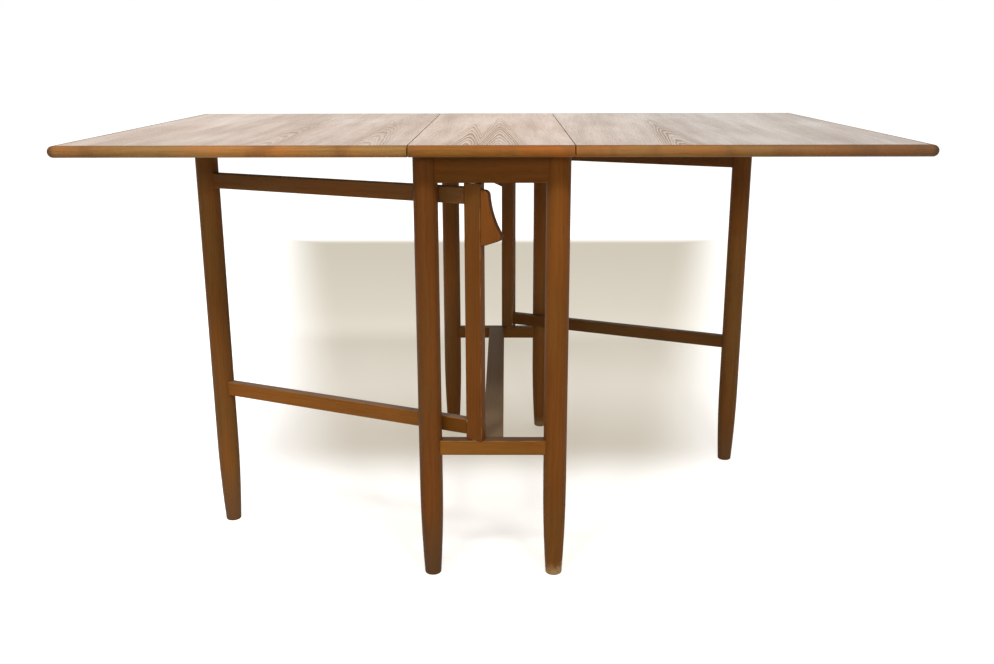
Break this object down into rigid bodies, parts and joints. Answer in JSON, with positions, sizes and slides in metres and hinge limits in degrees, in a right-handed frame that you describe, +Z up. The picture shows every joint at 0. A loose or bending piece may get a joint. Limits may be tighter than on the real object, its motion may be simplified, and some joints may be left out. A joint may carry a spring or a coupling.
{
  "type": "drop-leaf gateleg table",
  "caption": "Drop-leaf dining table: narrow fixed centre on round-legged end frames, hinged leaves held up by gates that swing on pivoting posts with wing-shaped grips.",
  "frame": {"origin": "on the floor, under the middle of the opened top", "axes": "+X along the opened top, from the left leaf to the right leaf; +Y from the front end to the rear end; +Z up"},
  "size_m": [1.3122, 0.82, 0.72],
  "materials": {
    "veneered_board": "open-pored veneer, satin lacquer",
    "lipping_wood": "solid wood, satin lacquer",
    "leg_wood": "stained solid wood, satin lacquer",
    "rail_wood": "stained solid wood, satin lacquer",
    "handle_wood": "stained solid wood, satin lacquer",
    "block_wood": "plain planed wood",
    "hinge_steel": "dulled steel",
    "screw_steel": "dulled steel"
  },
  "bodies": {
    "frame": {"centre_panel": "veneered_board", "centre_left_lipping": "lipping_wood", "centre_right_lipping": "lipping_wood", "centre_front_lipping": "lipping_wood", "centre_rear_lipping": "lipping_wood", "front_left_leg": "leg_wood", "front_right_leg": "leg_wood", "rear_left_leg": "leg_wood", "rear_right_leg": "leg_wood", "front_apron": "rail_wood", "rear_apron": "rail_wood", "front_stretcher": "rail_wood", "rear_stretcher": "rail_wood", "long_stretcher": "rail_wood", "front_fixing_block": "block_wood", "rear_fixing_block": "block_wood", "top_fixing_screws": "screw_steel", "gate_pivot_pins": "hinge_steel", "gate_washers": "hinge_steel", "frame_hinge_screws": "screw_steel", "left_hinge_pins": "hinge_steel", "right_hinge_pins": "hinge_steel", "left_front_hinge_frame_flap": "hinge_steel", "left_rear_hinge_frame_flap": "hinge_steel", "right_front_hinge_frame_flap": "hinge_steel", "right_rear_hinge_frame_flap": "hinge_steel"},
    "left_leaf": {"left_leaf_panel": "veneered_board", "left_leaf_joint_lipping": "lipping_wood", "left_leaf_front_lipping": "lipping_wood", "left_leaf_rear_lipping": "lipping_wood", "left_leaf_outer_lipping": "lipping_wood", "left_front_hinge_leaf_flap": "hinge_steel", "left_rear_hinge_leaf_flap": "hinge_steel", "left_leaf_hinge_screws": "screw_steel", "left_stop_block": "block_wood", "left_stop_screws": "screw_steel"},
    "left_gate": {"left_gate_post": "rail_wood", "left_gate_upper_rail": "rail_wood", "left_gate_lower_rail": "rail_wood", "left_gate_leg": "leg_wood", "left_gate_handle": "handle_wood", "left_handle_dowels": "block_wood"},
    "right_leaf": {"right_leaf_panel": "veneered_board", "right_leaf_joint_lipping": "lipping_wood", "right_leaf_front_lipping": "lipping_wood", "right_leaf_rear_lipping": "lipping_wood", "right_leaf_outer_lipping": "lipping_wood", "right_front_hinge_leaf_flap": "hinge_steel", "right_rear_hinge_leaf_flap": "hinge_steel", "right_leaf_hinge_screws": "screw_steel", "right_stop_block": "block_wood", "right_stop_screws": "screw_steel"},
    "right_gate": {"right_gate_post": "rail_wood", "right_gate_upper_rail": "rail_wood", "right_gate_lower_rail": "rail_wood", "right_gate_leg": "leg_wood", "right_gate_handle": "handle_wood", "right_handle_dowels": "block_wood"}
  },
  "joints": [
    {"name": "left_gate_swing", "type": "hinge", "parent": "frame", "child": "left_gate", "pos_m": [-0.0275, -0.354, 0.45], "axis": [0, 0, -1], "range_deg": [0, 65.1]},
    {"name": "right_gate_swing", "type": "hinge", "parent": "frame", "child": "right_gate", "pos_m": [0.0275, 0.354, 0.45], "axis": [0, 0, -1], "range_deg": [0, 65.1]},
    {"name": "left_leaf_lift", "type": "hinge", "parent": "frame", "child": "left_leaf", "pos_m": [-0.12375, 0, 0.6989], "axis": [0, 1, 0], "range_deg": [0, 3.2]},
    {"name": "right_leaf_lift", "type": "hinge", "parent": "frame", "child": "right_leaf", "pos_m": [0.12375, 0, 0.6989], "axis": [0, -1, 0], "range_deg": [0, 3.2]}
  ]
}
